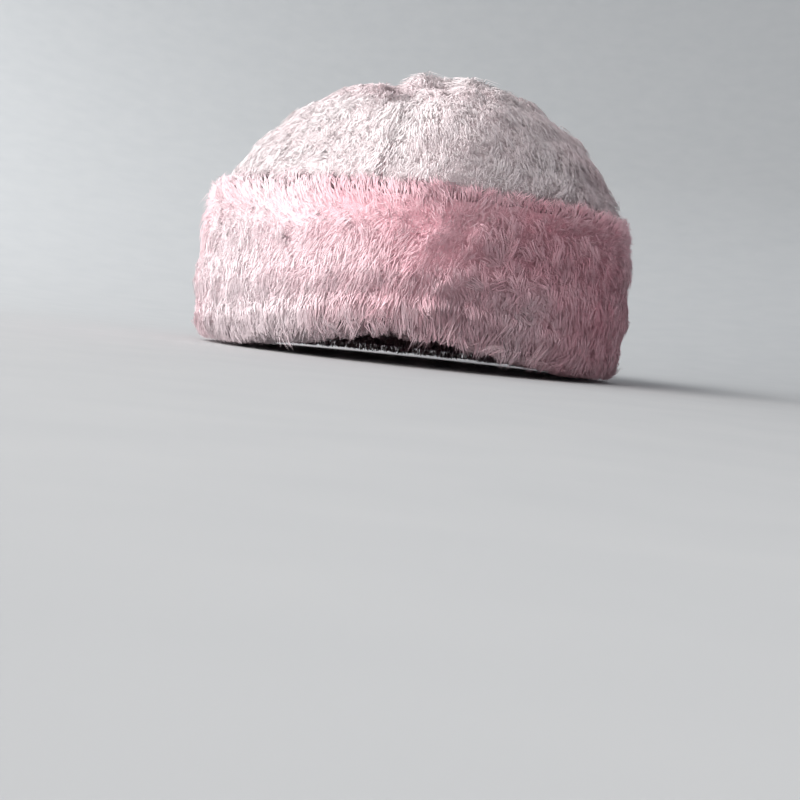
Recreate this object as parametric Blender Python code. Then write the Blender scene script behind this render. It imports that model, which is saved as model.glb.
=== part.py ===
"""Plush hat with a deep turned-up cuff, sized for a doll's display head.

Four plush gores meet at a gathered point and make the crown. A thick plush cuff is folded
round the lower edge of the crown and stands up against it. Every wall is backing cloth
with its pile on it, and the outer form of the pile is worked in staggered locks.

Metres, +Z up. The front of the hat faces -Y, and azimuths are counted from the front
towards the wearer's left hand, which is +X. The origin is the middle of the base, on the
surface that the hat stands on.
"""

import math
import random

import bmesh
import bpy
from mathutils import Vector

# The hollow that takes the head
HEAD_WIDTH = 0.128
HEAD_DEPTH = 0.136

# The whole hat and its cuff
HAT_HEIGHT = 0.115
CUFF_HEIGHT = 0.062
CUFF_THICKNESS = 0.0175
HEM_FOLD = 0.009
HEM_SLOPE = 0.0008
HEM_TUCK = 0.0004
HEM_ROUND = 0.003
HEM_LIP_ACROSS = 0.33
HEM_LIP_UP = 0.25
REST_INSET = 0.0022
FRONT_LIFT = 0.012
LIFT_SPAN = math.radians(62)

# The walls of the crown: pressed flat by the cuff, and with the pile standing free above it
BAND_WALL = 0.004
CROWN_WALL = 0.0120
FLARE_HEIGHT = 0.014

# Gaps that keep sewn pieces apart
SEAM_GAP = 0.0003
SEAT_GAP = 0.0003
CUFF_CLEARANCE = 0.0007

# The gores, and how the crown slouches towards +X with its -X side fallen in
GORE_COUNT = 4
FIRST_SEAM = math.radians(-12)
FULLNESS = 1.68
FULLNESS_LEAN = 0.14
APEX_LEAN = 0.004
THINNEST_WALL = 0.002
SEAM_DEPTH = 0.0032
SEAM_SHARPNESS = 0.6
SEAM_RISE = 0.5
GATHER_DEPTH = 0.0062
GATHER_REACH = 0.011

# Folds that the gathering pulls into the pile. Each is a valley between two places on the
# crown, seen from above: azimuths from the front, shares of the crown's radius, a depth as a
# share of CROWN_WALL, and a reach as a share of the crown's radius.
FOLD_COLUMNS = ("azimuth_deg", "share", "to_azimuth_deg", "to_share", "depth", "reach")
FOLDS = (
    (-85, 0.26, -15, 0.62, 0.42, 0.075),
    (5, 0.36, 8, 0.46, 0.45, 0.075),
    (30, 0.10, 44, 0.46, 0.32, 0.065),
    (85, 0.42, 80, 0.54, 0.34, 0.080),
    (66, 0.62, 60, 0.94, 0.22, 0.080),
    (-140, 0.20, -118, 0.52, 0.34, 0.080),
    (160, 0.22, 146, 0.58, 0.36, 0.080),
    (-172, 0.40, -165, 0.52, 0.30, 0.080),
    (112, 0.24, 118, 0.44, 0.30, 0.080),
)

# Locks of pile
LOCK_DEPTH = 0.0036
LOCK_ROOT = 0.2
LOCK_STEPS = 3
LOCK_FREE_FROM = 0.15
LOCK_FREE_TO = 0.80
CUFF_LOCKS = 36
CUFF_LOCK_ROWS = 6
GORE_LOCKS = 5
GORE_LOCK_ROWS = 6
LEAST_LOCK = 0.55
LOCK_SEED = 7

# Soft waves round the cuff: how many, how high as a share of CUFF_THICKNESS, and where
# each begins
WAVE_COLUMNS = ("count", "height_share", "start_deg")
CUFF_WAVES = (
    (3, 0.057, 40),
    (5, 0.034, 110),
)

# The outer face of the cuff, from the surface it rests on up and over to the crown.
# Across is a share of CUFF_THICKNESS, up is a share of CUFF_HEIGHT, and pile says how
# freely the locks stand there.
CUFF_FACE_COLUMNS = ("across", "up", "pile")
CUFF_FACE = (
    (0.62, 0.00, 0.0),
    (0.90, 0.075, 0.8),
    (1.00, 0.30, 1.0),
    (1.00, 0.62, 1.0),
    (0.90, 0.89, 1.0),
    (0.68, 1.00, 0.6),
    (0.48, 0.965, 0.0),
)

# Where the rows of the crown's wall sit behind the cuff, as shares of CUFF_HEIGHT. The
# back of the cuff has its rows at the same heights, so that the gap between them is even.
BAND_UPS = (0.45, 0.74, 0.86, 1.0)

GORE_BAND_ROWS = len(BAND_UPS)
GORE_DOME_ROWS = GORE_LOCK_ROWS * LOCK_STEPS
GORE_ROWS = GORE_BAND_ROWS + GORE_DOME_ROWS
GORE_COLUMNS = GORE_LOCKS * LOCK_STEPS
CUFF_SEGMENTS = CUFF_LOCKS * LOCK_STEPS
CUFF_FACE_STEPS = CUFF_LOCK_ROWS * LOCK_STEPS
WELD = 1e-6

CROWN_PINK = (0.86, 0.70, 0.73)
CUFF_PINK = (0.88, 0.62, 0.67)
PLUSH_ROUGHNESS = 0.95
PLUSH_SHEEN = 0.6


def smooth_step(x):
    x = min(1.0, max(0.0, x))
    return x * x * (3 - 2 * x)


def bell(distance, reach):
    return math.exp(-((distance / reach) ** 2))


def turn_between(a, b):
    """The smaller angle from azimuth b to azimuth a."""
    return (a - b + math.pi) % (2 * math.pi) - math.pi


def place(azimuth, share, offset, height):
    """A point at a share of the oval head opening, then offset outwards."""
    return Vector(
        (
            (HEAD_WIDTH / 2 * share + offset) * math.sin(azimuth),
            -(HEAD_DEPTH / 2 * share + offset) * math.cos(azimuth),
            height,
        )
    )


def lift(azimuth):
    """How far the rim stands off the surface: the front arches up over the forehead."""
    turn = abs(turn_between(azimuth, 0))
    if turn >= LIFT_SPAN:
        return 0.0
    return FRONT_LIFT * math.cos(math.pi / 2 * turn / LIFT_SPAN) ** 2


def lifted(height, azimuth):
    """A height on the cuff, squeezed upwards where the rim arches."""
    rise = lift(azimuth)
    return rise + height * (1 - rise / CUFF_HEIGHT)


def band_wall(height):
    """The gore's wall under the cuff, which swells to its full pile at the cuff's top."""
    flare = smooth_step((height - (CUFF_HEIGHT - FLARE_HEIGHT)) / FLARE_HEIGHT)
    return BAND_WALL + (CROWN_WALL - BAND_WALL) * flare


def lock_variety(rows, columns):
    """How high each lock stands, as shares of LOCK_DEPTH, the same on every run."""
    draw = random.Random(LOCK_SEED)
    return [[draw.uniform(LEAST_LOCK, 1.0) for _ in range(columns)] for _ in range(rows)]


def lock_crest(along, around, variety):
    """From 0 between locks to 1 at a crest. Each lock rises from its root to its tip, where
    it overlaps the next row, and the rows are staggered by half a lock."""
    row = min(int(along), len(variety) - 1)
    sideways = around + row % 2 / 2
    column = int(sideways) % len(variety[0])
    across = math.cos(math.pi * (sideways % 1.0 - 0.5))
    rise = LOCK_ROOT + (1 - LOCK_ROOT) * (along - row)
    return rise * across * variety[row][column]


def outwards_shift():
    """How far each gore stands out from the axis, so that its two seams stay open."""
    return SEAM_GAP / 2 / math.sin(math.pi / GORE_COUNT)


def seam_azimuth(index):
    return FIRST_SEAM + index * 2 * math.pi / GORE_COUNT


def on_plan(azimuth, share):
    """A place on the crown seen from above, in shares of its radius."""
    return Vector((share * math.sin(azimuth), -share * math.cos(azimuth)))


def fold_depth(azimuth, radius_share):
    """How deep the folds are at a place on the crown, as a share of CROWN_WALL."""
    spot = on_plan(azimuth, radius_share)
    depth = 0.0
    for azimuth_deg, share, to_azimuth_deg, to_share, depth_share, reach in FOLDS:
        start = on_plan(math.radians(azimuth_deg), share)
        run = on_plan(math.radians(to_azimuth_deg), to_share) - start
        along = min(1.0, max(0.0, (spot - start).dot(run) / run.length_squared))
        depth += depth_share * bell((spot - start - run * along).length, reach)
    return depth


def crown_wall(azimuth, across, radius_share, rise):
    """The gore's wall above the cuff: fullest mid-gore, drawn in at seams and point."""
    seam = 1 - math.sin(math.pi * across) ** SEAM_SHARPNESS
    seam_reach = smooth_step(rise / SEAM_RISE)
    gather = bell(radius_share * HEAD_WIDTH / 2, GATHER_REACH)
    wall = CROWN_WALL - SEAM_DEPTH * seam * seam_reach * (1 - gather)
    wall -= GATHER_DEPTH * gather
    wall -= CROWN_WALL * fold_depth(azimuth, radius_share) * (1 - gather)
    return max(wall, THINNEST_WALL)


def band_height(azimuth, row):
    """The height of one of the crown's rows behind the cuff, from its hem upwards."""
    if row == 0:
        return lifted(HEM_FOLD, azimuth) + SEAT_GAP
    return lifted(CUFF_HEIGHT * BAND_UPS[row - 1], azimuth)


def gore_point(index, across, row, outside, variety):
    """A point of one gore: across it from seam to seam, and by row from hem to point."""
    azimuth = seam_azimuth(index + across)
    if row <= GORE_BAND_ROWS:
        height = band_height(azimuth, row)
        return place(azimuth, 1.0, band_wall(height) if outside else 0.0, height)
    rise = (row - GORE_BAND_ROWS) / GORE_DOME_ROWS
    angle = math.pi / 2 * rise
    fullness = FULLNESS + FULLNESS_LEAN * math.sin(azimuth)
    radius_share = max(0.0, math.cos(angle)) ** (2 / fullness)
    height_share = math.sin(angle) ** (2 / fullness)
    dome = HAT_HEIGHT - CROWN_WALL - CUFF_HEIGHT
    outward = radius_share ** (fullness - 1) / (HEAD_WIDTH / 2)
    upward = height_share ** (fullness - 1) / dome
    steep = math.hypot(outward, upward)
    wall = 0.0
    if outside:
        wall = crown_wall(azimuth, across, radius_share, rise)
        along = (1 - rise) * GORE_LOCK_ROWS
        carved = 1 - lock_crest(along, across * GORE_LOCKS, variety)
        free = smooth_step(rise / LOCK_FREE_FROM)
        free *= smooth_step((1 - rise) / (1 - LOCK_FREE_TO))
        wall -= LOCK_DEPTH * carved * free
    point = place(
        azimuth,
        radius_share,
        wall * outward / steep,
        CUFF_HEIGHT + dome * height_share + wall * upward / steep,
    )
    point.x += APEX_LEAN * (1 - radius_share)
    return point


def cuff_face_point(share):
    """Across, up and pile at a share of the way along CUFF_FACE, on a smooth curve."""
    spans = len(CUFF_FACE) - 1
    span = min(int(share * spans), spans - 1)
    t = share * spans - span
    rows = [CUFF_FACE[min(max(span + k, 0), spans)] for k in (-1, 0, 1, 2)]
    return [
        0.5
        * (
            2 * b
            + (c - a) * t
            + (2 * a - 5 * b + 4 * c - d) * t * t
            + (3 * b - a - 3 * c + d) * t**3
        )
        for a, b, c, d in zip(*rows)
    ]


def cuff_section(azimuth, around, variety):
    """The closed outline of the cuff at one azimuth, as (offset, height) pairs."""
    inner = BAND_WALL + CUFF_CLEARANCE
    wave = CUFF_THICKNESS * sum(
        height_share * math.sin(count * azimuth + math.radians(start_deg))
        for count, height_share, start_deg in CUFF_WAVES
    )
    face = []
    for step in range(CUFF_FACE_STEPS + 1):
        share = step / CUFF_FACE_STEPS
        across, up, pile = cuff_face_point(share)
        along = (1 - share) * CUFF_LOCK_ROWS
        carved = 1 - lock_crest(min(along, CUFF_LOCK_ROWS - WELD), around, variety)
        depth = LOCK_DEPTH * carved * min(1.0, max(0.0, pile))
        offset = inner + CUFF_THICKNESS * across + wave * across - depth * across
        face.append((offset, max(0.0, CUFF_HEIGHT * up - depth * up)))
    back = [CUFF_HEIGHT * up for up in reversed(BAND_UPS[:-1])] + [HEM_FOLD]
    lip = [
        (HEM_TUCK, HEM_FOLD - HEM_SLOPE),
        (0.0, HEM_ROUND),
        (REST_INSET * HEM_LIP_ACROSS, HEM_ROUND * HEM_LIP_UP),
    ]
    rest = [(REST_INSET, 0.0), ((REST_INSET + face[0][0]) / 2, 0.0)]
    outline = [(offset, lifted(height, azimuth)) for offset, height in face]
    for height in back:
        raised = lifted(height, azimuth)
        outline.append((band_wall(raised) + CUFF_CLEARANCE, raised))
    outline += [(offset, lifted(height, azimuth)) for offset, height in lip + rest]
    return outline


def plush(name, colour):
    material = bpy.data.materials.new(name)
    material.use_nodes = True
    shader = material.node_tree.nodes["Principled BSDF"]
    shader.inputs["Base Color"].default_value = (*colour, 1.0)
    shader.inputs["Roughness"].default_value = PLUSH_ROUGHNESS
    shader.inputs["Metallic"].default_value = 0.0
    shader.inputs["Sheen Weight"].default_value = PLUSH_SHEEN
    material.diffuse_color = (*colour, 1.0)
    return material


def finish(obj, collection, parent, material):
    """Puts a piece in the hat's collection, under its empty, with its cloth on it."""
    for holder in obj.users_collection:
        holder.objects.unlink(obj)
    collection.objects.link(obj)
    obj.parent = parent
    obj.data.materials.append(material)
    obj.data.shade_smooth()


def make_gore(index, collection, parent, material):
    """One plush gore: a sheet from hem to point, thickened from inside to outside."""
    variety = lock_variety(GORE_LOCK_ROWS, GORE_COUNT * GORE_LOCKS)
    turned = [row[index * GORE_LOCKS :] + row[: index * GORE_LOCKS] for row in variety]
    mesh = bmesh.new()
    bmesh.ops.create_grid(
        mesh, x_segments=GORE_COLUMNS, y_segments=GORE_ROWS, size=0.5
    )
    grown = bmesh.ops.extrude_face_region(mesh, geom=mesh.faces[:])
    outer = {item for item in grown["geom"] if isinstance(item, bmesh.types.BMVert)}
    for vert in mesh.verts:
        across = vert.co.x + 0.5
        row = round((vert.co.y + 0.5) * GORE_ROWS)
        vert.co = gore_point(index, across, row, vert in outer, turned)
    bmesh.ops.remove_doubles(mesh, verts=mesh.verts, dist=WELD)
    bmesh.ops.recalc_face_normals(mesh, faces=mesh.faces)
    data = bpy.data.meshes.new(f"crown_gore_{index + 1}")
    mesh.to_mesh(data)
    mesh.free()
    gore = bpy.data.objects.new(f"crown_gore_{index + 1}", data)
    middle = seam_azimuth(index + 0.5)
    gore.location = (
        outwards_shift() * math.sin(middle),
        -outwards_shift() * math.cos(middle),
        0.0,
    )
    finish(gore, collection, parent, material)


def make_cuff(collection, parent, material):
    """The folded plush cuff: a ring whose sections are set one by one round the head."""
    variety = lock_variety(CUFF_LOCK_ROWS, CUFF_LOCKS)
    points = len(cuff_section(0.0, 0.0, variety))
    bpy.ops.mesh.primitive_torus_add(
        major_segments=CUFF_SEGMENTS, minor_segments=points
    )
    cuff = bpy.context.object
    cuff.name = cuff.data.name = "cuff"
    for segment in range(CUFF_SEGMENTS):
        azimuth = 2 * math.pi * segment / CUFF_SEGMENTS
        around = CUFF_LOCKS * segment / CUFF_SEGMENTS
        section = cuff_section(azimuth, around, variety)
        for number, (offset, height) in enumerate(section):
            vert = cuff.data.vertices[segment * points + number]
            vert.co = place(azimuth, 1.0, offset, height)
    mesh = bmesh.new()
    mesh.from_mesh(cuff.data)
    bmesh.ops.recalc_face_normals(mesh, faces=mesh.faces)
    mesh.to_mesh(cuff.data)
    mesh.free()
    finish(cuff, collection, parent, material)


def centre_on_base(parent, pieces):
    """Moves the hat so that the middle of its base is the origin."""
    bpy.context.view_layer.update()
    corners = [piece.matrix_world @ v.co for piece in pieces for v in piece.data.vertices]
    middle = [(min(c[k] for c in corners) + max(c[k] for c in corners)) / 2 for k in (0, 1)]
    base = min(c.z for c in corners)
    parent.location = (-middle[0], -middle[1], -base)


def main():
    for obj in list(bpy.data.objects):
        bpy.data.objects.remove(obj)
    collection = bpy.data.collections.new("plush_hat")
    bpy.context.scene.collection.children.link(collection)
    hat = bpy.data.objects.new("hat", None)
    collection.objects.link(hat)
    crown_plush = plush("crown_plush", CROWN_PINK)
    cuff_plush = plush("cuff_plush", CUFF_PINK)
    for index in range(GORE_COUNT):
        make_gore(index, collection, hat, crown_plush)
    make_cuff(collection, hat, cuff_plush)
    centre_on_base(hat, [piece for piece in collection.objects if piece.type == "MESH"])


main()
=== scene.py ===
# %% [markdown]
# # A plush hat with a deep turned-up cuff
#
# The hat is sewn from fake fur: a knitted backing cloth with a deep pile standing on it. Four
# gores make the crown and meet at a gathered point, and one thick band is folded round its edge
# and turned up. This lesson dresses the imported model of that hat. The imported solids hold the
# size, so each cloth is taken from its own solid, and each hair is grown out to its skin.

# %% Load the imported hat
import math

import bpy
import numpy as np
from mathutils import Matrix, Vector, noise
from mathutils.bvhtree import BVHTree
from mathutils.kdtree import KDTree


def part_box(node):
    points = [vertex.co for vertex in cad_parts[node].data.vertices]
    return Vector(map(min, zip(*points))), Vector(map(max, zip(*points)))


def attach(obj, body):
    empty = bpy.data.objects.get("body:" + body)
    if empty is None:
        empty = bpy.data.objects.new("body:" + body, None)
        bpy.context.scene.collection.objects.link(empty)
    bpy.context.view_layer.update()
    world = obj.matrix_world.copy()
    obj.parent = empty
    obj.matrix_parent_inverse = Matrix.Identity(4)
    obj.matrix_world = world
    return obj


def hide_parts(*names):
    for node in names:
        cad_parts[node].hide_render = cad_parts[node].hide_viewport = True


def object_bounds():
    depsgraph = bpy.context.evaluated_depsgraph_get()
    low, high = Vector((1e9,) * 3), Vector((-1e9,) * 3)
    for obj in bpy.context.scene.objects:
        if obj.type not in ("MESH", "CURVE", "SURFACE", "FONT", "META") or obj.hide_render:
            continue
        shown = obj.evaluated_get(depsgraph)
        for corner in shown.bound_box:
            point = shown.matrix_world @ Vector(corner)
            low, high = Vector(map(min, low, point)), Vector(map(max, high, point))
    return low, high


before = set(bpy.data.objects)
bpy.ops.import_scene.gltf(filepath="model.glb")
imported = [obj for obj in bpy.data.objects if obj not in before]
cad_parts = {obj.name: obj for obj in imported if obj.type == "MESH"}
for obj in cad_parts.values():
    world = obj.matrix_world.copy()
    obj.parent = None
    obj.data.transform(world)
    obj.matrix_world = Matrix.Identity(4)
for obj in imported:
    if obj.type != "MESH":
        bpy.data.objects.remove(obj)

cad_low, cad_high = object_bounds()
GORES = sorted(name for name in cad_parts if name.startswith("crown_gore"))
CUFF_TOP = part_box("cuff")[1].z
HAT_TOP = cad_high.z
print("hat", [round(1000 * side, 1) for side in cad_high - cad_low], "mm, gores", GORES)

# %% [markdown]
# ## Camera
#
# The photograph is taken close up and from a little below the rim, so the cuff looks large and
# the crown falls away behind it. A near camera gives that strong perspective. Here the hat
# stands on its rim as it would on a shelf, so the camera goes as low as it can without passing
# under the floor. The hat sat a little askew, so the camera is rolled by that much and the hat
# itself stays upright.

# %% Place the camera
HAT_DISTANCE = 0.50
CAMERA_HEIGHT = 0.013
FRAME_WIDTH_AT_HAT = 0.318
DROP = math.radians(3.3)
ROLL = math.radians(6.0)

camera_data = bpy.data.cameras.new("photo_view")
camera_data.sensor_width = 36
camera_data.lens = camera_data.sensor_width * HAT_DISTANCE / FRAME_WIDTH_AT_HAT
camera_data.clip_start = 0.01
camera = bpy.data.objects.new("photo_view", camera_data)
bpy.context.scene.collection.objects.link(camera)
camera.location = (0.0, -HAT_DISTANCE, CAMERA_HEIGHT)
pitch = Matrix.Rotation(math.pi / 2 - DROP, 3, "X")
camera.rotation_euler = (pitch @ Matrix.Rotation(ROLL, 3, "Z")).to_euler()
bpy.context.scene.camera = camera
print("lens", round(camera_data.lens, 1), "mm")

# %% [markdown]
# ## Floor
#
# A product photograph stands on a sweep: a floor that curves up into its own background, so
# that no edge shows. A bent sheet behind the hat would do for one view. A disc whose rim is
# extruded outwards and upwards, step by step, gives a bowl that works from every side.

# %% Sweep the floor up into a bowl
FLOOR_RADIUS = 0.34
FLOOR_SIDES = 96
BOWL_STEPS = 32
BOWL_ROUND = 1.7


def only(piece):
    """Selects one object and makes it the active one."""
    bpy.ops.object.select_all(action="DESELECT")
    piece.select_set(True)
    bpy.context.view_layer.objects.active = piece


bpy.ops.object.select_all(action="DESELECT")
bpy.ops.mesh.primitive_circle_add(vertices=FLOOR_SIDES, radius=FLOOR_RADIUS, fill_type="NGON")
floor = bpy.context.object
floor.name = "studio_floor"
bpy.ops.object.mode_set(mode="EDIT")
bpy.ops.mesh.select_mode(type="EDGE")
bpy.ops.mesh.select_all(action="SELECT")
bpy.ops.mesh.region_to_loop()
reach, rise = FLOOR_RADIUS, 0.0
for step in range(1, BOWL_STEPS + 1):
    angle = math.pi / 2 * step / BOWL_STEPS
    wider = FLOOR_RADIUS + BOWL_ROUND * math.sin(angle)
    higher = BOWL_ROUND * (1 - math.cos(angle))
    bpy.ops.mesh.extrude_edges_move(
        TRANSFORM_OT_translate={"value": (0, 0, higher - rise)}
    )
    grow = wider / reach
    bpy.ops.transform.resize(value=(grow, grow, 1), center_override=(0, 0, 0))
    reach, rise = wider, higher
bpy.ops.object.mode_set(mode="OBJECT")
bpy.ops.object.shade_smooth()
print("floor", len(floor.data.polygons), "faces, bowl", round(2 * reach, 2), "m across")

# %% [markdown]
# ## Light
#
# One broad lamp stands to the left of the camera and well above the hat. It bleaches the left
# of the hat nearly white, and the right side falls into a dusky mauve shade. A grey world keeps
# that shade open, as the walls of a room do. A weak lamp on the right and one behind lift the
# edges, and one that is turned away from the hat washes the wall behind it. A picture of a
# room could light it too, but four lamps are easier to aim.

# %% Hang the lamps
# The columns are name, place, aim, size, watts and colour.
LAMPS = (
    ("key", (-0.76, -0.62, 0.54), (0.0, 0.0, 0.05), 1.00, 20.0, (1.0, 0.985, 0.97)),
    ("fill", (0.75, -0.75, 0.35), (0.0, 0.0, 0.05), 0.60, 0.25, (0.90, 0.94, 1.0)),
    ("rim", (0.35, 0.75, 0.75), (0.0, 0.0, 0.08), 0.40, 0.8, (0.95, 0.97, 1.0)),
    ("wash", (-1.00, 0.35, 0.95), (-0.45, 1.90, 0.50), 0.90, 17.0, (0.97, 0.99, 1.0)),
)
WORLD_GREY = (0.60, 0.62, 0.65)
WORLD_STRENGTH = 0.60

for name, place, aim, size, watts, colour in LAMPS:
    lamp_data = bpy.data.lights.new(name, "AREA")
    lamp_data.size = size
    lamp_data.energy = watts
    lamp_data.color = colour
    lamp = bpy.data.objects.new(name, lamp_data)
    bpy.context.scene.collection.objects.link(lamp)
    lamp.location = place
    lamp.rotation_euler = (Vector(aim) - Vector(place)).to_track_quat("-Z", "Y").to_euler()
world = bpy.data.worlds.new("studio")
bpy.context.scene.world = world
world.use_nodes = True
world.node_tree.nodes["Background"].inputs["Color"].default_value = (*WORLD_GREY, 1)
world.node_tree.nodes["Background"].inputs["Strength"].default_value = WORLD_STRENGTH
bpy.context.scene.view_settings.view_transform = "Standard"
print("lamps", [row[0] for row in LAMPS])

# %% [markdown]
# ## Finding the skin of each solid
#
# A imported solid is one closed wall: the outer skin is where the pile ends, and the inner skin
# is the bare back of the cloth. Its triangles come loose, so a copy is merged first. A face of
# the crown belongs to the outer skin when it looks away from the hollow. The cuff is all pile
# but for the back of its wall, which lies hidden against the crown, up to a fringe at its top.
# New cloths could be modelled from nothing, but these can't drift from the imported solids.

# %% Merge a copy of a solid and read its skin
MERGE = 1e-5
HOLLOW_MIDDLE = 0.050
LOOKS_OUT = 0.35
CUFF_LOOKS_IN = -0.2
RIM_FOLD = 0.022
TOP_FRINGE = 0.84


def sewn_copy(node, name):
    """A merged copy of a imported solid, as a new piece."""
    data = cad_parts[node].data.copy()
    data.name = name
    data.materials.clear()
    piece = bpy.data.objects.new(name, data)
    bpy.context.scene.collection.objects.link(piece)
    only(piece)
    bpy.ops.mesh.customdata_custom_splitnormals_clear()
    bpy.ops.object.mode_set(mode="EDIT")
    bpy.ops.mesh.select_mode(type="VERT")
    bpy.ops.mesh.select_all(action="SELECT")
    bpy.ops.mesh.remove_doubles(threshold=MERGE)
    bpy.ops.object.mode_set(mode="OBJECT")
    return piece


def coordinates(data):
    """The vertices of a mesh as an array of rows."""
    flat = np.empty(3 * len(data.vertices))
    data.vertices.foreach_get("co", flat)
    return flat.reshape(-1, 3)


def unit(rows):
    """Each row scaled to a length of one."""
    return rows / np.maximum(np.linalg.norm(rows, axis=1, keepdims=True), 1e-12)


def away_from_hollow(points):
    """The direction out of the hollow: level beside it, and rising over it."""
    out = points.copy()
    out[:, 2] = np.maximum(points[:, 2] - HOLLOW_MIDDLE, 0)
    return unit(out)


def looks_of(piece, is_cuff):
    """Which faces of a merged copy carry pile, and which are the bare back of the cloth. The
    cut edges along the seams are neither."""
    faces = piece.data.polygons
    middle, normal = np.empty(3 * len(faces)), np.empty(3 * len(faces))
    faces.foreach_get("center", middle)
    faces.foreach_get("normal", normal)
    middle, normal = middle.reshape(-1, 3), normal.reshape(-1, 3)
    if is_cuff:
        level = unit(middle * (1, 1, 0))
        height = middle[:, 2]
        back = (level * normal).sum(1) < CUFF_LOOKS_IN
        back &= (height > RIM_FOLD) & (height < TOP_FRINGE * CUFF_TOP)
        return ~back, back
    looks = (away_from_hollow(middle) * normal).sum(1)
    return looks > LOOKS_OUT, looks < -LOOKS_OUT


cloths, carries, bare = {}, {}, {}
for node in GORES + ["cuff"]:
    cloths[node] = sewn_copy(node, node + "_cloth")
    carries[node], bare[node] = looks_of(cloths[node], node == "cuff")
    print(node, len(cloths[node].data.polygons), "faces,", int(carries[node].sum()), "with pile")

# %% [markdown]
# ## The skin that the pile grows out to
#
# Before the cloths are drawn in under the pile, the place and the normal of every vertex are
# kept. A hair is later as long as the way from its root to the same spot on this skin, so the
# fur keeps the form of the solids from every side.

# %% Keep the skin of each solid
TRACE = 1e-9


def pile_normals(name):
    """A normal for each vertex, mixed from the faces with pile that meet there. A trace of
    the plain normal serves where there is none."""
    data = cloths[name].data
    total = np.array([vert.normal[:] for vert in data.vertices]) * TRACE
    for face, has_pile in zip(data.polygons, carries[name]):
        if has_pile:
            total[list(face.vertices)] += np.array(face.normal) * face.area
    return unit(total)


skins = {name: (coordinates(piece.data), pile_normals(name)) for name, piece in cloths.items()}

back_points, back_faces = [], []
for name in GORES:
    start = len(back_points)
    back_points += [vert.co.copy() for vert in cloths[name].data.vertices]
    for face, is_bare in zip(cloths[name].data.polygons, bare[name]):
        if is_bare:
            back_faces.append([start + corner for corner in face.vertices])
crown_back = BVHTree.FromPolygons(back_points, back_faces)
print("kept", {name: len(skin[0]) for name, skin in skins.items()}, len(back_faces), "bare faces")

# %% [markdown]
# ## The underfur
#
# Plush is densest near its backing, where the fibres lie so close that they look like felt,
# and only the last few millimetres stand free. Hairs from the backing up would be hidden for
# most of their length, so each cloth is drawn in to the top of that felt instead. On the
# crown every pile vertex moves in towards the nearest point of the inner skin. The cuff is
# pressed in from outside, from above, and from below off its arched rim.

# %% Draw the cloths in to the top of the felt
FREE_PILE = 0.0034
LEAST_FELT = 0.0020
CUFF_SIDE = (0.0090, 0.0220, 0.0184)
CUFF_TOP_FROM = 0.62
CUFF_TOP_TO = 0.93
CUFF_BASE = 0.0040
BASE_REACH = 0.020
SLICE_DEG = 5


def pile_vertices(name):
    """Which vertices of a merged copy touch a face with pile."""
    touched = np.zeros(len(cloths[name].data.vertices), bool)
    for face, has_pile in zip(cloths[name].data.polygons, carries[name]):
        if has_pile:
            touched[list(face.vertices)] = True
    return touched


for name in GORES:
    data = cloths[name].data
    touched = pile_vertices(name)
    for vert in data.vertices:
        if touched[vert.index]:
            near = crown_back.find_nearest(vert.co)[0]
            lift = vert.co - near
            felt = max(LEAST_FELT, lift.length - FREE_PILE)
            if lift.length > felt:
                vert.co = near + lift.normalized() * felt
    data.update()

cuff_data = cloths["cuff"].data
points = coordinates(cuff_data)
level = np.hypot(points[:, 0], points[:, 1])
turn = np.round(np.degrees(np.arctan2(points[:, 1], points[:, 0])) / SLICE_DEG).astype(int)
inner_edge, rim_height = np.empty(len(points)), np.empty(len(points))
for step in np.unique(turn):
    inner_edge[turn == step] = level[turn == step].min()
    rim_height[turn == step] = points[turn == step, 2].min()
offset = level - inner_edge
start, full, pressed = CUFF_SIDE
squeeze = np.where(
    offset > start, start + (offset - start) * (pressed - start) / (full - start), offset
)
scale = (level - offset + squeeze) / level
points[:, :2] *= scale[:, None]
knee = CUFF_TOP * CUFF_TOP_FROM
high = points[:, 2] > knee
slope = (CUFF_TOP_TO - CUFF_TOP_FROM) / (1 - CUFF_TOP_FROM)
points[high, 2] = knee + (points[high, 2] - knee) * slope
over_rim = points[:, 2] - rim_height
low = over_rim < BASE_REACH
points[low, 2] += CUFF_BASE * (1 - over_rim[low] / BASE_REACH)
cuff_data.vertices.foreach_set("co", points.ravel())
cuff_data.update()
print("cuff cloth", [round(1000 * s, 1) for s in np.ptp(points, axis=0)], "mm")

# %% [markdown]
# ## One hair
#
# A hair of plush is a soft pointed fibre. Here one is modelled once, as a cone with three
# sides whose foot is drawn out to a point, so that it is thickest near its middle and bends as
# one rod. It stands for a pinch of real fibres. A round curve would be finer, but well over a
# hundred thousand copies follow, so it has only six faces. It is still a closed solid.

# %% Model one hair
HAIR_BELLY = 0.55

bpy.ops.object.select_all(action="DESELECT")
bpy.ops.mesh.primitive_cone_add(
    vertices=3,
    radius1=1,
    radius2=0,
    depth=1 - HAIR_BELLY,
    location=(0, 0, (1 + HAIR_BELLY) / 2),
    end_fill_type="NGON",
)
hair = bpy.context.object
hair.name = "one_hair"
bpy.ops.object.transform_apply(location=True, rotation=True, scale=True)
bpy.ops.object.mode_set(mode="EDIT")
bpy.ops.mesh.select_mode(type="FACE")
bpy.ops.mesh.select_all(action="DESELECT")
bpy.ops.object.mode_set(mode="OBJECT")
base_face = min(hair.data.polygons, key=lambda face: face.normal.z)
base_face.select = True
bpy.ops.object.mode_set(mode="EDIT")
bpy.ops.mesh.poke()
bpy.ops.mesh.select_all(action="DESELECT")
bpy.ops.mesh.select_mode(type="VERT")
bpy.ops.object.mode_set(mode="OBJECT")
foot = min(hair.data.vertices, key=lambda vert: math.hypot(vert.co.x, vert.co.y) + vert.co.z)
foot.select = True
bpy.ops.object.mode_set(mode="EDIT")
bpy.ops.transform.translate(value=(0, 0, -HAIR_BELLY))
bpy.ops.mesh.select_all(action="SELECT")
bpy.ops.mesh.normals_make_consistent(inside=False)
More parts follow.
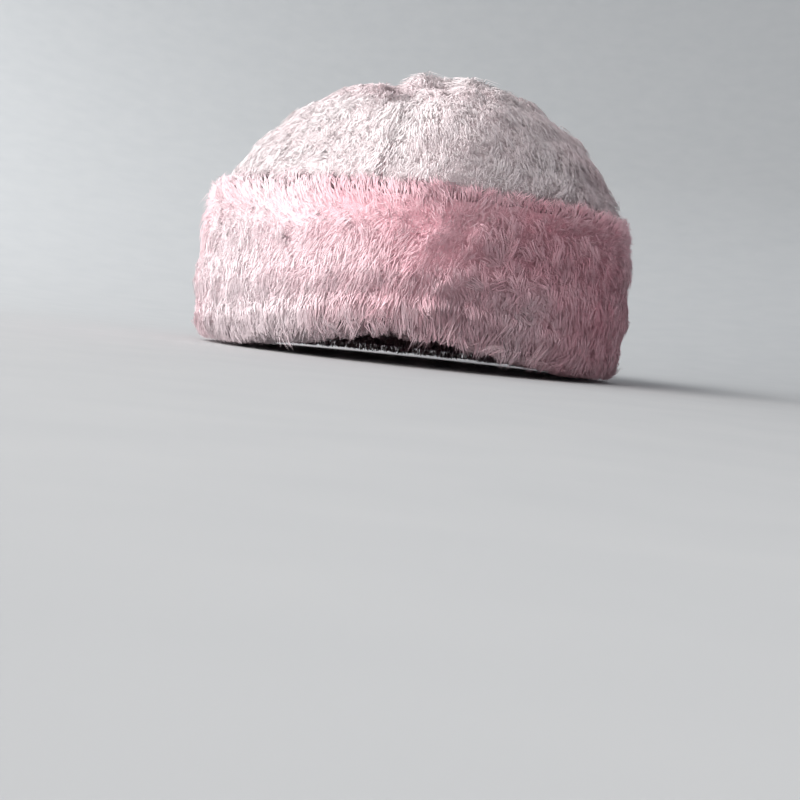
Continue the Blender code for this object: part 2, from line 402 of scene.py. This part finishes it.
bpy.ops.object.mode_set(mode="OBJECT")
hair_points = coordinates(hair.data)
hair_faces = np.array([list(face.vertices) for face in hair.data.polygons])
bpy.data.objects.remove(hair)
print("one hair:", hair_points.round(2).tolist(), len(hair_faces), "triangles")

# %% [markdown]
# ## Scattering the roots
#
# Roots are spread by the area of the skin above them, so that the pile looks equally dense
# everywhere, and thinner on the underside, which only the floor meets. Each root keeps its
# spot on the skin and the smooth normal there, both mixed from the corners of its face.
# Blender's own hair could grow here too, but arrays end as plain meshes, the same every run.

# %% Scatter roots on a cloth
LOWEST_CROWN_ROOT = 0.80
UNDERSIDE = -0.6
UNDERSIDE_SHARE = 0.45
CROWN_DENSITY = 1.84
CUFF_DENSITY = 1.78
ROOT_SEED = 11


def scatter(name, per_mm2, draw):
    """Random roots on the pile faces of a cloth, with their spots and normals on the skin."""
    data = cloths[name].data
    data.calc_loop_triangles()
    corners = np.array([t.vertices for t in data.loop_triangles])
    of_face = np.array([t.polygon_index for t in data.loop_triangles])
    corners = corners[carries[name][of_face]]
    skin, normals = skins[name]
    a, b, c = skin[corners[:, 0]], skin[corners[:, 1]], skin[corners[:, 2]]
    wide = np.cross(b - a, c - a)
    area = np.linalg.norm(wide, axis=1) / 2
    area[wide[:, 2] < 2 * UNDERSIDE * area] *= UNDERSIDE_SHARE
    count = int(area.sum() * 1e6 * per_mm2)
    pick = draw.choice(len(area), count, p=area / area.sum())
    u, v = draw.random(count), draw.random(count)
    flip = u + v > 1
    u[flip], v[flip] = 1 - u[flip], 1 - v[flip]
    mix = np.stack([1 - u - v, u, v], 1)[:, :, None]
    three = corners[pick]
    root = (coordinates(data)[three] * mix).sum(1)
    return root, (skin[three] * mix).sum(1), unit((normals[three] * mix).sum(1))


draw = np.random.default_rng(ROOT_SEED)
crown_sets = []
for name in GORES:
    root, spot, normal = scatter(name, CROWN_DENSITY, draw)
    keep = spot[:, 2] > CUFF_TOP * LOWEST_CROWN_ROOT
    crown_sets.append((root[keep], spot[keep], normal[keep]))
cuff_set = scatter("cuff", CUFF_DENSITY, draw)
print("roots: crown", sum(len(rows[0]) for rows in crown_sets), "cuff", len(cuff_set[0]))

# %% [markdown]
# ## Combing
#
# Pile leans the way it was last stroked. On the cuff it hangs down from the middle to the rim,
# stands out below the top edge and sweeps up over it. On the crown it lies outwards from the
# gathered point. Slow noise turns it in swirls. Guide hairs could be combed by hand all round
# the hat, but a lean for each height says the same in two short rows.

# %% Find places round the hat
def azimuth_of(points):
    """Degrees from the front of the hat towards +X."""
    return np.degrees(np.arctan2(points[:, 0], -points[:, 1]))


def patch(points, azimuth, share, reach, reach_share):
    """A soft round patch on the side of the hat, from 0 to 1."""
    turn = (azimuth_of(points) - azimuth + 180) % 360 - 180
    up = points[:, 2] / CUFF_TOP - share
    return np.exp(-((turn / reach) ** 2) - (up / reach_share) ** 2)


print("hairs in front", int((np.abs(azimuth_of(cuff_set[1])) < 45).sum()))

# %% Comb the pile
CUFF_HEIGHTS = (0.0, 0.10, 0.30, 0.55, 0.75, 0.92, 1.0)
CUFF_LEANS = (1.45, 1.40, 1.25, 1.00, 0.62, -0.20, -0.50)
CROWN_HEIGHTS = (0.0, 0.15, 0.5, 1.0)
CROWN_LEANS = (0.50, 0.90, 1.10, 0.80)
SWIRL_SEED = 5
SWIRL_SIZE = 0.034
SWIRL = 0.40
SWIRL_ACROSS = 1.3

noise.seed_set(SWIRL_SEED)


def comb(root, normal, on_cuff):
    """The way the pile leans along the cloth, as a tangent whose length is its slope."""
    down = np.zeros_like(root)
    down[:, 2] = -1
    level = unit(root * (1, 1, 0))
    flat = (normal[:, 2] < UNDERSIDE) & on_cuff
    down[flat] = level[flat]
    along = unit(down - (down * normal).sum(1, keepdims=True) * normal)
    across = np.cross(normal, along)
    if on_cuff:
        lean = np.interp(root[:, 2] / CUFF_TOP, CUFF_HEIGHTS, CUFF_LEANS)
    else:
        up = (root[:, 2] - CUFF_TOP) / (HAT_TOP - CUFF_TOP)
        lean = np.interp(up, CROWN_HEIGHTS, CROWN_LEANS)
    swirl = np.array([noise.noise_vector(Vector(p) / SWIRL_SIZE) for p in root])
    return (
        along * (lean + SWIRL * swirl[:, 0])[:, None]
        + across * (SWIRL_ACROSS * SWIRL * swirl[:, 1])[:, None]
    )


print("leans of the cuff by height", dict(zip(CUFF_HEIGHTS, CUFF_LEANS)))

# %% [markdown]
# ## Seams
#
# Along the seams of real plush a sewer picks the trapped fibres out with a needle, so the pile
# is longer there and closes over the stitches. Stitches could be modelled below it, but none
# would show. So the hairs near each seam only grow a little longer.

# %% Measure how far each hair is from a seam
SEAM_DEG = -12
SEAM_COUNT = 4
SEAM_PICK = 0.0016
PICK_REACH = 0.0030


def seam_distance(points):
    """How far each point of the crown lies from the nearest seam between two gores."""
    turn = (azimuth_of(points) - SEAM_DEG + 180 / SEAM_COUNT) % (360 / SEAM_COUNT)
    away = np.radians(turn - 180 / SEAM_COUNT)
    return np.hypot(points[:, 0], points[:, 1]) * np.abs(np.sin(away))


near_seam = [int((seam_distance(rows[1]) < PICK_REACH).sum()) for rows in crown_sets]
print("hairs near a seam", near_seam)

# %% [markdown]
# ## Tufts and curls
#
# Fibres cling together in tufts a few millimetres wide, most of all where the pile has curled
# or was pressed. Each tuft has one leading hair, and the others lean a little towards its tip.
# Purely random hairs would look like felt, and tufts alone like a mop, so it is some of both.

# %% Clump and cut the hairs
TUFT_AREA = 9.0
TUFT_EDGE = 0.0007
TUFT_CLING = 0.16
CURL_CLING = 0.45
CLINGS = (0.4, 1.25)
MOST_CLING = 0.8
TUFT_STRAY = 0.17
CURL_STRAY = 0.5
HAIR_STRAY = 0.17
OUTWARDS = 0.6
STEEPEST = 0.50
PROUD = 0.0006
SHORTEST = 0.0025
TUFT_LENGTHS = (0.84, 1.12)
HAIR_LENGTHS = (0.78, 1.06)
BEND_AT = 0.55
BEND_LEAN = 0.35
FLOOR_CLEAR = 0.0002
FLOOR_RAGGED = 0.0012
LEAST_LEFT = 0.15
CUFF_LENGTHS = (0.60, 1.05, 1.05, 1.0, 1.0, 1.15, 1.25)
ARCH_PATCH = (0, 0.20, 42, 0.16)
ARCH_LENGTH = 0.50
# The columns are azimuth in degrees, height share, reach in degrees, reach share and curl.
CURLS = (
    (22, 0.42, 13, 0.36, 1.0),
    (-8, 0.10, 34, 0.14, 0.5),
    (-70, 0.30, 22, 0.30, 0.3),
    (150, 0.50, 30, 0.40, 0.5),
)


def tufts_of(spot, count, draw):
    """The leading hairs of the tufts, and the tuft that each hair is in."""
    chosen = draw.choice(len(spot), count, replace=False)
    tree = KDTree(count)
    for i, k in enumerate(chosen):
        tree.insert(spot[k], i)
    tree.balance()
    ragged = spot + draw.normal(0, TUFT_EDGE, spot.shape)
    return chosen, np.array([tree.find(p)[1] for p in ragged])


def pile_height(root, spot, on_cuff):
    """How far the pile stands over each root."""
    pile = np.linalg.norm(spot - root, axis=1).clip(SHORTEST)
    if on_cuff:
        pile *= np.interp(spot[:, 2] / CUFF_TOP, CUFF_HEIGHTS, CUFF_LENGTHS)
        pile *= 1 + ARCH_LENGTH * patch(spot, *ARCH_PATCH)
    else:
        pile += SEAM_PICK * np.exp(-((seam_distance(spot) / PICK_REACH) ** 2))
    return pile


def cut_at_floor(root, bend, tip, draw):
    """Shortens the hairs that would reach through the floor."""
    floor_gap = FLOOR_CLEAR + FLOOR_RAGGED * draw.random(len(root))
    below = tip[:, 2] < floor_gap
    share = (root[:, 2] - floor_gap) / (root[:, 2] - tip[:, 2]).clip(1e-6)
    share = share.clip(LEAST_LEFT, 1)
    for places in (bend, tip):
        places[below] = root[below] + (places[below] - root[below]) * share[below, None]
        places[:, 2] = np.maximum(places[:, 2], floor_gap)


def groom(root, spot, normal, on_cuff, draw):
    """The bend and tip of every hair, and the tone of the tuft that it is in."""
    per_mm2 = CUFF_DENSITY if on_cuff else CROWN_DENSITY
    count = int(len(root) / (TUFT_AREA * per_mm2))
    chosen, tuft = tufts_of(spot, count, draw)
    pile = pile_height(root, spot, on_cuff)
    base = unit(OUTWARDS * unit(spot - root) + (1 - OUTWARDS) * normal)
    slope = comb(spot[chosen], normal[chosen], on_cuff)
    curl = np.zeros(count)
    if on_cuff:
        for azimuth, share, reach, reach_share, strength in CURLS:
            curl += strength * patch(spot[chosen], azimuth, share, reach, reach_share)
    slope += draw.normal(0, 1, slope.shape) * (TUFT_STRAY + CURL_STRAY * curl)[:, None]
    t_way = unit(base[chosen] + slope)
    t_length = pile[chosen] / (t_way * base[chosen]).sum(1).clip(STEEPEST) + PROUD
    t_length *= draw.uniform(*TUFT_LENGTHS, count)
    t_tip = root[chosen] + t_way * t_length[:, None]
    way = unit(base + slope[tuft] + draw.normal(0, HAIR_STRAY, root.shape))
    length = pile / (way * base).sum(1).clip(STEEPEST) + PROUD
    length *= draw.uniform(*HAIR_LENGTHS, len(root))
    tip = root + way * length[:, None]
    cling = (TUFT_CLING + CURL_CLING * curl[tuft]) * draw.uniform(*CLINGS, len(root))
    tip = tip + (t_tip[tuft] - tip) * cling.clip(0, MOST_CLING)[:, None]
    bend = root + unit(base + BEND_LEAN * way) * (BEND_AT * length)[:, None]
    cut_at_floor(root, bend, tip, draw)
    return bend, tip, draw.uniform(-1, 1, count)[tuft]


print("tufts of", TUFT_AREA, "square millimetres,", len(CURLS), "curled patches")

# %% [markdown]
# ## Tone
#
# The fibres are dyed pink and bleached by wear and light, and their tips most of all, so pile
# looks pinker where it parts. Every hair, and every spot of the felt below, gets a tone from a
# chart made against the photograph: white along the front of the rim and pink in the middle of
# the cuff. The chart also paints light and shade into that tone: painted light turns the left
# of the cuff nearly white, painted shade makes the right of the cuff and of the crown deepest
# and darkens a groove and a fold near the top, and a painted highlight lies on a curl. It is
# darker at the back too. It could be painted on the mesh, but a few soft patches are easier to
# read and to move.

# %% Chart the tone of both cloths
# The columns are azimuth in degrees, height share, reach in degrees, reach share and change.
TONES_WITH_PAINTED_LIGHT = {
    "cuff": (
        (14, 0.72, 24, 0.24, -0.12),
        # Painted shade: the right side of the cuff, away from the lamp, is darkest.
        (50, 0.55, 26, 0.60, -0.22),
        (-10, 0.06, 36, 0.16, 0.34),
        # Painted light: the left of the cuff, towards the lamp, is turned nearly white.
        (-52, 0.50, 34, 0.90, 0.49),
        # A painted highlight on the curl right of the middle.
        (26, 0.34, 10, 0.20, 0.14),
        (150, 0.55, 40, 0.25, -0.14),
        (-140, 0.60, 36, 0.25, -0.10),
    ),
    "crown": (
        # Painted shade: the right of the crown, away from the lamp.
        (66, 1.15, 30, 0.50, -0.34),
        # These two rows paint shade into a groove and a fold near the gathered top.
        (-34, 1.66, 26, 0.12, -0.22),
        (12, 1.62, 22, 0.10, -0.12),
        (-120, 1.40, 40, 0.30, -0.14),
        (150, 1.30, 40, 0.40, -0.16),
    ),
}
MEAN_TONE = {"cuff": 0.45, "crown": 0.81}
PATCH_SIZE = 0.022
PATCH_DRIFT = 0.16
TUFT_DRIFT = 0.07
HAIR_DRIFT = 0.05
TONE_RANGE = (0.02, 0.98)


def chart(points, kind):
    """How pale the pile is at each point, from 0 to 1: its tone with painted light and painted
    shade.
    """
    drift = np.array([noise.noise(Vector(p) / PATCH_SIZE) for p in points])
    tone = MEAN_TONE[kind] + PATCH_DRIFT * drift
    for azimuth, share, reach, reach_share, change in TONES_WITH_PAINTED_LIGHT[kind]:
        tone += change * patch(points, azimuth, share, reach, reach_share)
    return tone


def tone_of(spot, tuft_tone, kind, draw):
    """The tone of each hair: the chart with its painted light and shade, its tuft's own shade,
    and its own.
    """
    tone = chart(spot, kind) + TUFT_DRIFT * tuft_tone + draw.normal(0, HAIR_DRIFT, len(spot))
    return tone.clip(*TONE_RANGE)


TONE_LAYER = "tone"
for name, piece in cloths.items():
    layer = piece.data.attributes.new(TONE_LAYER, "FLOAT", "POINT")
    # The felt's tone holds the chart's painted light and painted shade.
    felt_tone = chart(skins[name][0], "cuff" if name == "cuff" else "crown").clip(0, 1)
    layer.data.foreach_set("value", felt_tone.astype(np.float32))
    print(name, "tone", felt_tone.min().round(2), "to", felt_tone.max().round(2))

# %% [markdown]
# ## Growing the fur
#
# The copies of the one hair are laid along their curves by arrays, and joined into one mesh
# for each gore and each quarter of the cuff. A loop over objects would take minutes here.

# %% Join the hairs into fur pieces
FUR_MAP = "OFBake"
MAP_MARGIN = 0.004
HAIR_WIDTH = 0.000185
HAIR_WIDTHS = (0.75, 1.25)
HAIR_TWIST = 0.30
HAIR_FLATNESS = 0.6
HAIR_ROUNDNESS = 0.20


def fur_mesh(name, root, normal, bend, tip, tone, draw):
    """Copies the one hair along each curve, and joins the copies into one mesh. A hair lies
    with a flat side outwards, and its shading leans on the cloth's normal, as soft pile does."""
    count, corners = len(root), len(hair_points)
    t = hair_points[:, 2][None, :, None]
    knee = 2 * bend - (root + tip) / 2
    spine = (
        root[:, None] * (1 - t) ** 2 + knee[:, None] * 2 * t * (1 - t) + tip[:, None] * t**2
    )
    chord = unit(tip - root)
    side = unit(np.cross(chord, normal + draw.normal(0, HAIR_TWIST, root.shape)))
    other = np.cross(chord, side)
    width = HAIR_WIDTH * draw.uniform(*HAIR_WIDTHS, count)[:, None, None]
    ring = (
        side[:, None] * hair_points[:, 0][None, :, None]
        + other[:, None] * hair_points[:, 1][None, :, None] * HAIR_FLATNESS
    )
    verts = (spine + ring * width).reshape(-1, 3)
    verts[:, 2] = np.maximum(verts[:, 2], FLOOR_CLEAR / 3)
    faces = (hair_faces[None] + corners * np.arange(count)[:, None, None]).reshape(-1, 3)
    data = bpy.data.meshes.new(name)
    data.vertices.add(len(verts))
    data.vertices.foreach_set("co", verts.ravel())
    data.loops.add(faces.size)
    data.loops.foreach_set("vertex_index", faces.ravel().astype(np.int32))
    data.polygons.add(len(faces))
    data.polygons.foreach_set("loop_start", np.arange(0, faces.size, 3, dtype=np.int32))
    data.update(calc_edges=True)
    along = np.tile(hair_points[:, 2], count).clip(MAP_MARGIN, 1 - MAP_MARGIN)
    # Across the map lies each hair's tone, with its painted light and painted shade.
    spread = np.repeat(tone, corners) + MAP_MARGIN * np.tile(hair_points[:, 0], count)
    layer = data.uv_layers.new(name=FUR_MAP)
    layer.uv.foreach_set("vector", np.stack([spread, along], 1)[faces.ravel()].ravel())
    data.polygons.foreach_set("use_smooth", np.ones(len(faces), bool))
    soft = unit(normal[:, None] + HAIR_ROUNDNESS * ring)
    data.normals_split_custom_set_from_vertices(soft.reshape(-1, 3))
    piece = bpy.data.objects.new(name, data)
    bpy.context.scene.collection.objects.link(piece)
    return piece


furs = {}
root, spot, normal = (np.concatenate([rows[k] for rows in crown_sets]) for k in range(3))
gore_of = np.repeat(np.arange(len(GORES)), [len(rows[0]) for rows in crown_sets])
bend, tip, tuft_tone = groom(root, spot, normal, False, draw)
tone = tone_of(spot, tuft_tone, "crown", draw)
for i, name in enumerate(GORES):
    own = gore_of == i
    furs[name + "_fur"] = fur_mesh(
        name + "_fur", root[own], normal[own], bend[own], tip[own], tone[own], draw
    )
root, spot, normal = cuff_set
bend, tip, tuft_tone = groom(root, spot, normal, True, draw)
tone = tone_of(spot, tuft_tone, "cuff", draw)
quarter = ((azimuth_of(spot) + 45) % 360 // 90).astype(int)
for i, side in enumerate(("front", "left", "back", "right")):
    own = quarter == i
    name = "cuff_fur_" + side
    furs[name] = fur_mesh(name, root[own], normal[own], bend[own], tip[own], tone[own], draw)
print({name: len(piece.data.polygons) for name, piece in furs.items()})

# %% [markdown]
# ## Dye
#
# The same dye runs through both cloths, so it is built once as a node group. Its inputs are
# three colours, how pale the spot is, with its painted light and shade, and how far up the fibre
# it lies. The hairs send their own map into it, where across is the tone and upwards is root to
# tip. The felt sends its own tone and a little noise.

# %% Build the dye group
def new_group(name, inputs, outputs):
    """An empty shader node group with named sockets."""
    group = bpy.data.node_groups.new(name, "ShaderNodeTree")
    for label, kind, value in inputs:
        socket = group.interface.new_socket(label, in_out="INPUT", socket_type=kind)
        socket.default_value = value
    for label, kind in outputs:
        group.interface.new_socket(label, in_out="OUTPUT", socket_type=kind)
    return group, group.nodes.new("NodeGroupInput"), group.nodes.new("NodeGroupOutput")


def ranged(tree, value, low, high):
    """A smooth step between two values."""
    node = tree.nodes.new("ShaderNodeMapRange")
    node.interpolation_type = "SMOOTHSTEP"
    node.inputs["From Min"].default_value = low
    node.inputs["From Max"].default_value = high
    tree.links.new(value, node.inputs["Value"])
    return node.outputs["Result"]


def blended(tree, share, first, second):
    """Two colours mixed by a share."""
    node = tree.nodes.new("ShaderNodeMix")
    node.data_type = "RGBA"
    tree.links.new(share, node.inputs["Factor"])
    tree.links.new(first, node.inputs["A"])
    tree.links.new(second, node.inputs["B"])
    return node.outputs["Result"]


def summed(tree, first, second, factor):
    """first + second * factor."""
    node = tree.nodes.new("ShaderNodeMath")
    node.operation = "MULTIPLY_ADD"
    tree.links.new(second, node.inputs[0])
    node.inputs[1].default_value = factor
    tree.links.new(first, node.inputs[2])
    return node.outputs["Value"]


TIP_BLEACH = 0.22
dye, dye_in, dye_out = new_group(
    "pile_dye",
    (
        ("Root", "NodeSocketColor", (0.7, 0.3, 0.35, 1)),
        ("Middle", "NodeSocketColor", (0.8, 0.5, 0.55, 1)),
        ("Tip", "NodeSocketColor", (0.95, 0.85, 0.86, 1)),
        ("Tone", "NodeSocketFloat", 0.5),
        ("Along", "NodeSocketFloat", 0.5),
    ),
    (("Colour", "NodeSocketColor"),),
)
# The tone holds painted light and painted shade; the tips are bleached a little further.
bleach_and_painted_light = summed(dye, dye_in.outputs["Tone"], dye_in.outputs["Along"], TIP_BLEACH)
deep = blended(
    dye, ranged(dye, bleach_and_painted_light, 0.05, 0.62), dye_in.outputs["Root"], dye_in.outputs["Middle"]
)
full = blended(dye, ranged(dye, bleach_and_painted_light, 0.45, 1.15), deep, dye_in.outputs["Tip"])
dye.links.new(full, dye_out.inputs["Colour"])
print("dye group", [socket.name for socket in dye_in.outputs if socket.name])

# %% [markdown]
# ## Fur finish
#
# The fibres are matt, with a faint sheen where light grazes them. A hair shader would suit
# curves, but these hairs are thin closed meshes, so a rough surface with little gloss comes
# closest. The crown is paler than the cuff, so each has three colours of its own.

# %% Dye the two furs
# The columns are root, middle and tip.
FUR_COLOURS = {
    "crown": ((0.74, 0.44, 0.49), (0.88, 0.71, 0.74), (0.96, 0.88, 0.89)),
    "cuff": ((0.76, 0.27, 0.35), (0.90, 0.56, 0.62), (0.98, 0.84, 0.87)),
}


def dyed_shader(name, colours):
    """A soft rough shader with the dye on it, as (material, tree, shader, dye node)."""
    material = bpy.data.materials.new(name)
    material.use_nodes = True
    tree = material.node_tree
    shader = tree.nodes["Principled BSDF"]
    dyed = tree.nodes.new("ShaderNodeGroup")
    dyed.node_tree = dye
    for label, colour in zip(("Root", "Middle", "Tip"), colours):
        dyed.inputs[label].default_value = (*colour, 1)
    tree.links.new(dyed.outputs["Colour"], shader.inputs["Base Color"])
    shader.inputs["Roughness"].default_value = 0.75
    shader.inputs["Specular IOR Level"].default_value = 0.08
    shader.inputs["Sheen Weight"].default_value = 0.10
    shader.inputs["Sheen Roughness"].default_value = 0.45
    shader.inputs["Sheen Tint"].default_value = (1.0, 0.78, 0.82, 1)
    return material, tree, shader, dyed


def fur_material(name, colours):
    """The free fibres, which read their tone and their length from their own map."""
    material, tree, _, dyed = dyed_shader(name, colours)
    hair_map = tree.nodes.new("ShaderNodeUVMap")
    hair_map.uv_map = FUR_MAP
    split = tree.nodes.new("ShaderNodeSeparateXYZ")
    tree.links.new(hair_map.outputs["UV"], split.inputs["Vector"])
    tree.links.new(split.outputs["X"], dyed.inputs["Tone"])
    tree.links.new(split.outputs["Y"], dyed.inputs["Along"])
    return material


fur_materials = {key: fur_material(key + "_pile", FUR_COLOURS[key]) for key in FUR_COLOURS}
for name, piece in furs.items():
    piece.data.materials.append(fur_materials["crown" if "crown" in name else "cuff"])
print("furs dyed", {key: material.name for key, material in fur_materials.items()})

# %% [markdown]
# ## Backing
#
# Inside the crown and behind the cuff the backing is bare: a fine knit, whose stitches stand
# in upright columns. They must run round the hat and up the cloth, which plain coordinates in
# space don't, so each cloth first gets a map of its own, in centimetres.

# %% Lay a map of centimetres on each cloth
CLOTH_MAP = "cloth_cm"
CM = 100
MEAN_RADIUS = 0.066


def lay_map(piece):
    """A map of the cloth: round the hat, and up the wall, in centimetres."""
    data = piece.data
    spots = coordinates(data)
    level = np.hypot(spots[:, 0], spots[:, 1])
    over = np.maximum(MEAN_RADIUS - level, 0)
    up = CM * (spots[:, 2] + over * (spots[:, 2] > CUFF_TOP))
    corner = np.empty(len(data.loops), np.int32)
    data.loops.foreach_get("vertex_index", corner)
    turn = np.arctan2(spots[:, 0], -spots[:, 1])
    round_cm = np.empty(len(corner))
    for face in data.polygons:
        loops = list(face.loop_indices)
        turns = turn[corner[loops]]
        if np.ptp(turns) > math.pi:
            turns = turns % (2 * math.pi)
        round_cm[loops] = turns * CM * MEAN_RADIUS
    layer = data.uv_layers.new(name=CLOTH_MAP)
    layer.uv.foreach_set("vector", np.stack([round_cm, up[corner]], 1).ravel())


for piece in cloths.values():
    lay_map(piece)
print("mapped", len(cloths), "cloths")

# %% [markdown]
# ## Knit and felt
#
# A stitch of the backing is where a column and a slanting row cross, so two waves multiplied
# give both its colour and its relief. Modelled stitches would be far too many, and too small
# to show. The felt takes the dye of its pile, with fine noise for the ends of short fibres.

# %% Build the knit and the felt
knit, knit_in, knit_out = new_group(
    "backing_knit",
    (
        ("Thread", "NodeSocketColor", (0.85, 0.6, 0.65, 1)),
        ("Gap", "NodeSocketColor", (0.6, 0.3, 0.35, 1)),
        ("Stitches per cm", "NodeSocketFloat", 7.0),
    ),
    (("Colour", "NodeSocketColor"), ("Height", "NodeSocketFloat")),
)
cloth_map = knit.nodes.new("ShaderNodeUVMap")
cloth_map.uv_map = CLOTH_MAP
wale = knit.nodes.new("ShaderNodeVectorMath")
wale.operation = "SCALE"
knit.links.new(cloth_map.outputs["UV"], wale.inputs[0])
knit.links.new(knit_in.outputs["Stitches per cm"], wale.inputs["Scale"])
columns = knit.nodes.new("ShaderNodeTexWave")
columns.wave_type = "BANDS"
columns.bands_direction = "X"
columns.inputs["Scale"].default_value = 0.31
columns.inputs["Distortion"].default_value = 0.4
rows = knit.nodes.new("ShaderNodeTexWave")
rows.wave_type = "BANDS"
rows.bands_direction = "DIAGONAL"
rows.inputs["Scale"].default_value = 0.36
rows.inputs["Distortion"].default_value = 0.8
for wave in (columns, rows):
    knit.links.new(wale.outputs["Vector"], wave.inputs["Vector"])
stitch = knit.nodes.new("ShaderNodeMath")
stitch.operation = "MULTIPLY"
knit.links.new(columns.outputs["Fac"], stitch.inputs[0])
knit.links.new(rows.outputs["Fac"], stitch.inputs[1])
knit.links.new(
    blended(knit, stitch.outputs["Value"], knit_in.outputs["Gap"], knit_in.outputs["Thread"]),
    knit_out.inputs["Colour"],
)
knit.links.new(stitch.outputs["Value"], knit_out.inputs["Height"])


def knit_material(name, thread, gap, bump):
    """Knitted backing with its relief."""
    material = bpy.data.materials.new(name)
    material.use_nodes = True
    tree = material.node_tree
    shader = tree.nodes["Principled BSDF"]
    group = tree.nodes.new("ShaderNodeGroup")
    group.node_tree = knit
    group.inputs["Thread"].default_value = (*thread, 1)
    group.inputs["Gap"].default_value = (*gap, 1)
    relief = tree.nodes.new("ShaderNodeBump")
    relief.inputs["Distance"].default_value = bump
    tree.links.new(group.outputs["Colour"], shader.inputs["Base Color"])
    tree.links.new(group.outputs["Height"], relief.inputs["Height"])
    tree.links.new(relief.outputs["Normal"], shader.inputs["Normal"])
    shader.inputs["Roughness"].default_value = 0.9
    shader.inputs["Sheen Weight"].default_value = 0.2
    return material


def felt_material(name, colours):
    """The dense felt under the free fibres."""
    material, tree, shader, dyed = dyed_shader(name, colours)
    tone = tree.nodes.new("ShaderNodeAttribute")
    tone.attribute_name = TONE_LAYER
    where = tree.nodes.new("ShaderNodeTexCoord")
    fibre = tree.nodes.new("ShaderNodeTexNoise")
    fibre.inputs["Scale"].default_value = 900
    fibre.inputs["Detail"].default_value = 3
    relief = tree.nodes.new("ShaderNodeBump")
    relief.inputs["Distance"].default_value = 0.0006
    tree.links.new(where.outputs["Object"], fibre.inputs["Vector"])
    # The tone layer brings the chart's painted light and painted shade onto the felt.
    tree.links.new(tone.outputs["Fac"], dyed.inputs["Tone"])
    tree.links.new(fibre.outputs["Fac"], dyed.inputs["Along"])
    tree.links.new(fibre.outputs["Fac"], relief.inputs["Height"])
    tree.links.new(relief.outputs["Normal"], shader.inputs["Normal"])
    return material


bare_knit = knit_material("bare_knit", (0.86, 0.64, 0.68), (0.55, 0.30, 0.34), 0.0004)
felted = {key: felt_material(key + "_felt", FUR_COLOURS[key]) for key in FUR_COLOURS}
for name, piece in cloths.items():
    piece.data.materials.append(bare_knit)
    piece.data.materials.append(felted["cuff" if name == "cuff" else "crown"])
    piece.data.polygons.foreach_set("material_index", carries[name].astype(np.int32))
    only(piece)
    bpy.ops.object.shade_smooth()
print("cloths finished", bare_knit.name, [felt.name for felt in felted.values()])

# %% [markdown]
# ## Floor finish
#
# The floor is a matt paper sweep, pale and a little cool. A flat colour would do, but a faint
# grain makes it read as paper.

# %% Paint the floor
paper = bpy.data.materials.new("paper_sweep")
paper.use_nodes = True
paper_tree = paper.node_tree
grain = paper_tree.nodes.new("ShaderNodeTexNoise")
grain.inputs["Scale"].default_value = 40
where = paper_tree.nodes.new("ShaderNodeTexCoord")
paper_tree.links.new(where.outputs["Object"], grain.inputs["Vector"])
shades = paper_tree.nodes.new("ShaderNodeMix")
shades.data_type = "RGBA"
shades.inputs["A"].default_value = (0.46, 0.47, 0.48, 1)
shades.inputs["B"].default_value = (0.51, 0.515, 0.52, 1)
paper_tree.links.new(grain.outputs["Fac"], shades.inputs["Factor"])
paper_tree.links.new(
    shades.outputs["Result"], paper_tree.nodes["Principled BSDF"].inputs["Base Color"]
)
paper_tree.nodes["Principled BSDF"].inputs["Roughness"].default_value = 0.9
floor.data.materials.append(paper)
print("floor finish", paper.name)

# %% [markdown]
# ## Tying the pieces
#
# Each cloth stands for its solid, which is hidden, and the fur rides with it. All are tied to
# one frame, and the size of the imported hat is printed at the end.

# %% Tie the pieces to the frame
for name, piece in cloths.items():
    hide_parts(name)
    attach(piece, "root")
for name, piece in furs.items():
    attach(piece, "root")
print("tied", len(cloths), "cloths and", len(furs), "furs")

# %% Print the size of the imported hat
print("cad", [round(1000 * s, 1) for s in cad_high - cad_low])
